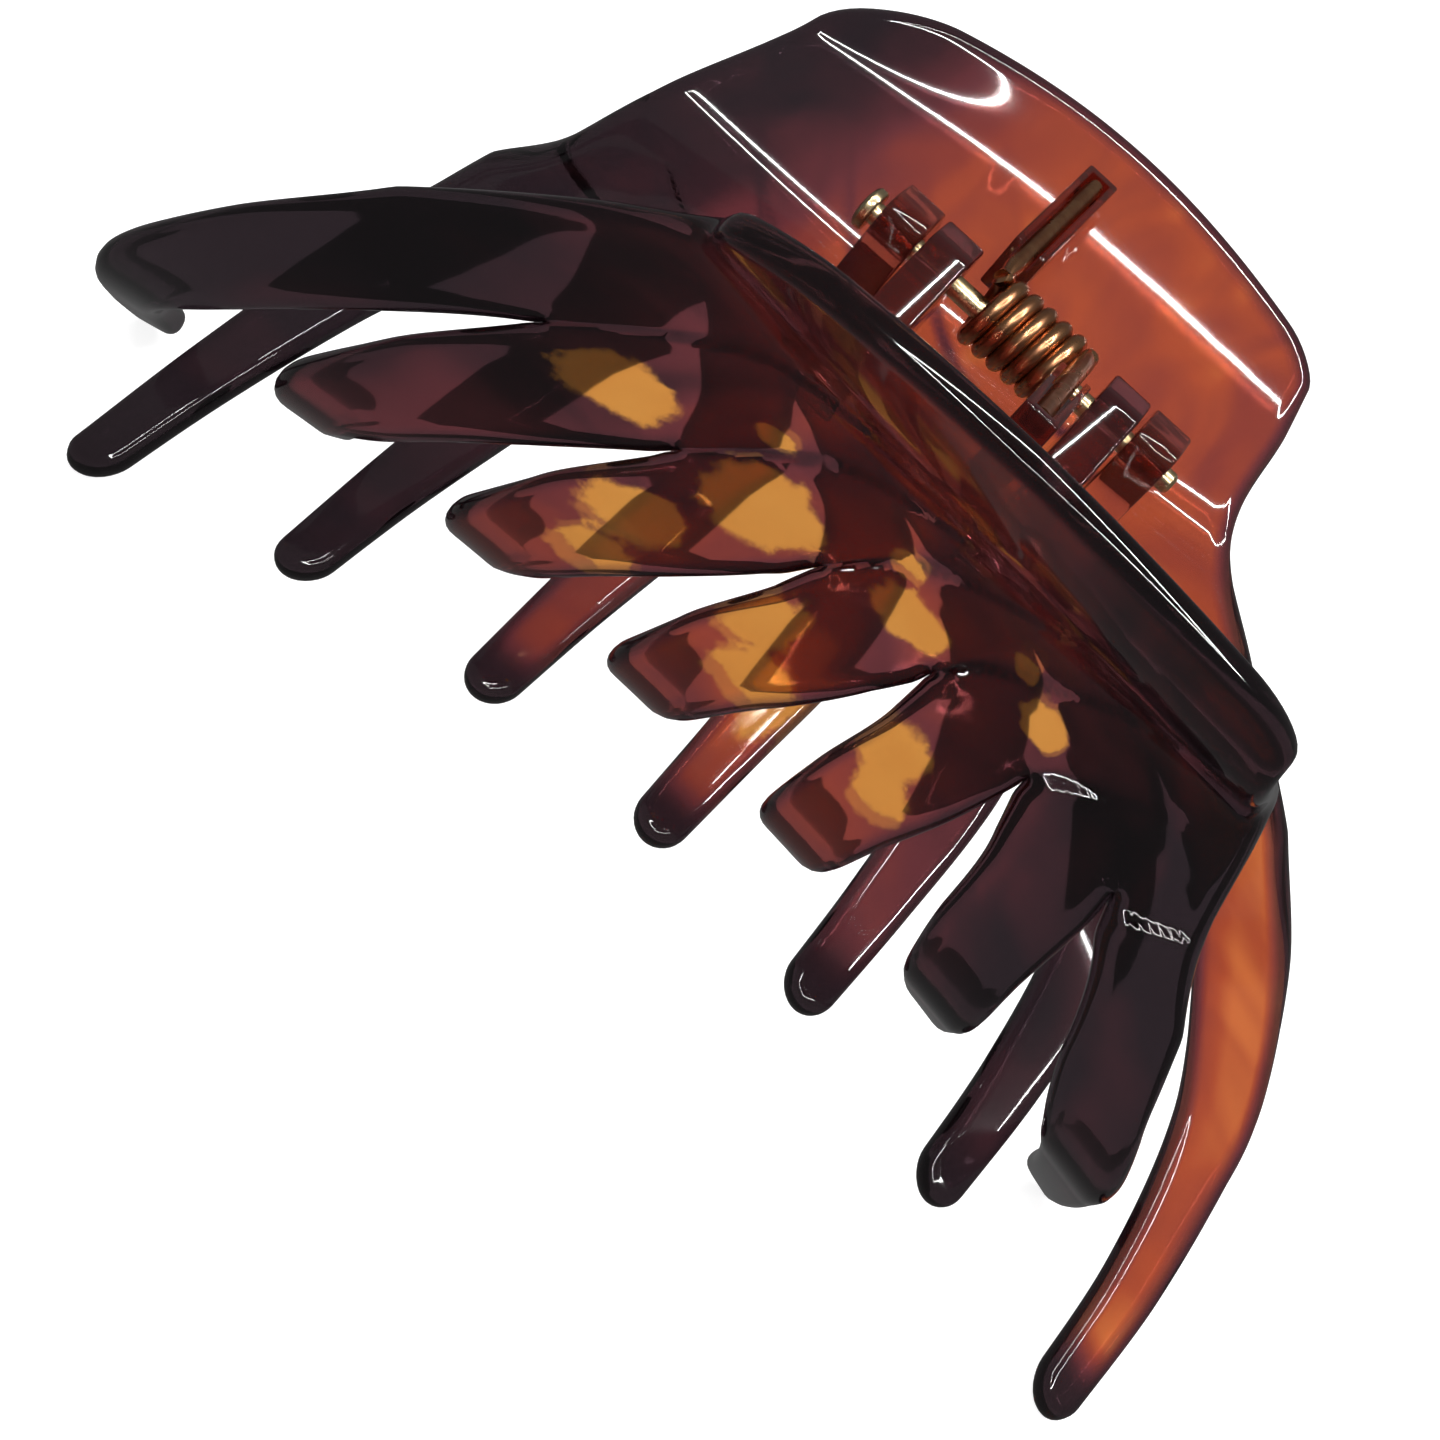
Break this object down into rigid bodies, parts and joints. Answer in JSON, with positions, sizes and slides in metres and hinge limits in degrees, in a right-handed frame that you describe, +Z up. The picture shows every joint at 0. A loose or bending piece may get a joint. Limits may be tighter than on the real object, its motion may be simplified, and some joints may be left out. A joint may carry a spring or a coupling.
{
  "type": "claw hair clip",
  "caption": "Octopus claw hair clip: translucent jaws with long curved interleaving prongs and flared finger grips, on a headed hinge pin through lugs with a coiled torsion spring.",
  "frame": {"origin": "centre of the bounding box at the plane that the lowest fingertips stand on", "axes": "+X along the hinge pin towards its plain end, +Y from the front jaw towards the rear jaw, +Z up from the fingertips to the finger grips"},
  "size_m": [0.1062, 0.0464, 0.0598],
  "materials": {
    "front_shell": "glossy translucent tortoise-shell plastic, dark brown with amber patches",
    "rear_shell": "glossy translucent tortoise-shell plastic, red-brown to near black",
    "pin_metal": "pale brass-plated steel wire",
    "spring_wire": "bronze-coloured spring wire, drawn finish"
  },
  "bodies": {
    "rear": {"rear_jaw": "rear_shell", "hinge_pin": "pin_metal", "torsion_spring": "spring_wire"},
    "front": {"front_jaw": "front_shell"}
  },
  "joints": [
    {"name": "jaw_hinge", "type": "hinge", "parent": "rear", "child": "front", "pos_m": [0, 0, 0.053], "axis": [-1, 0, 0], "range_deg": [0, 75], "stiffness_Nm_per_rad": 0.15, "springref_deg": -40.11, "deforming": ["torsion_spring"]}
  ]
}
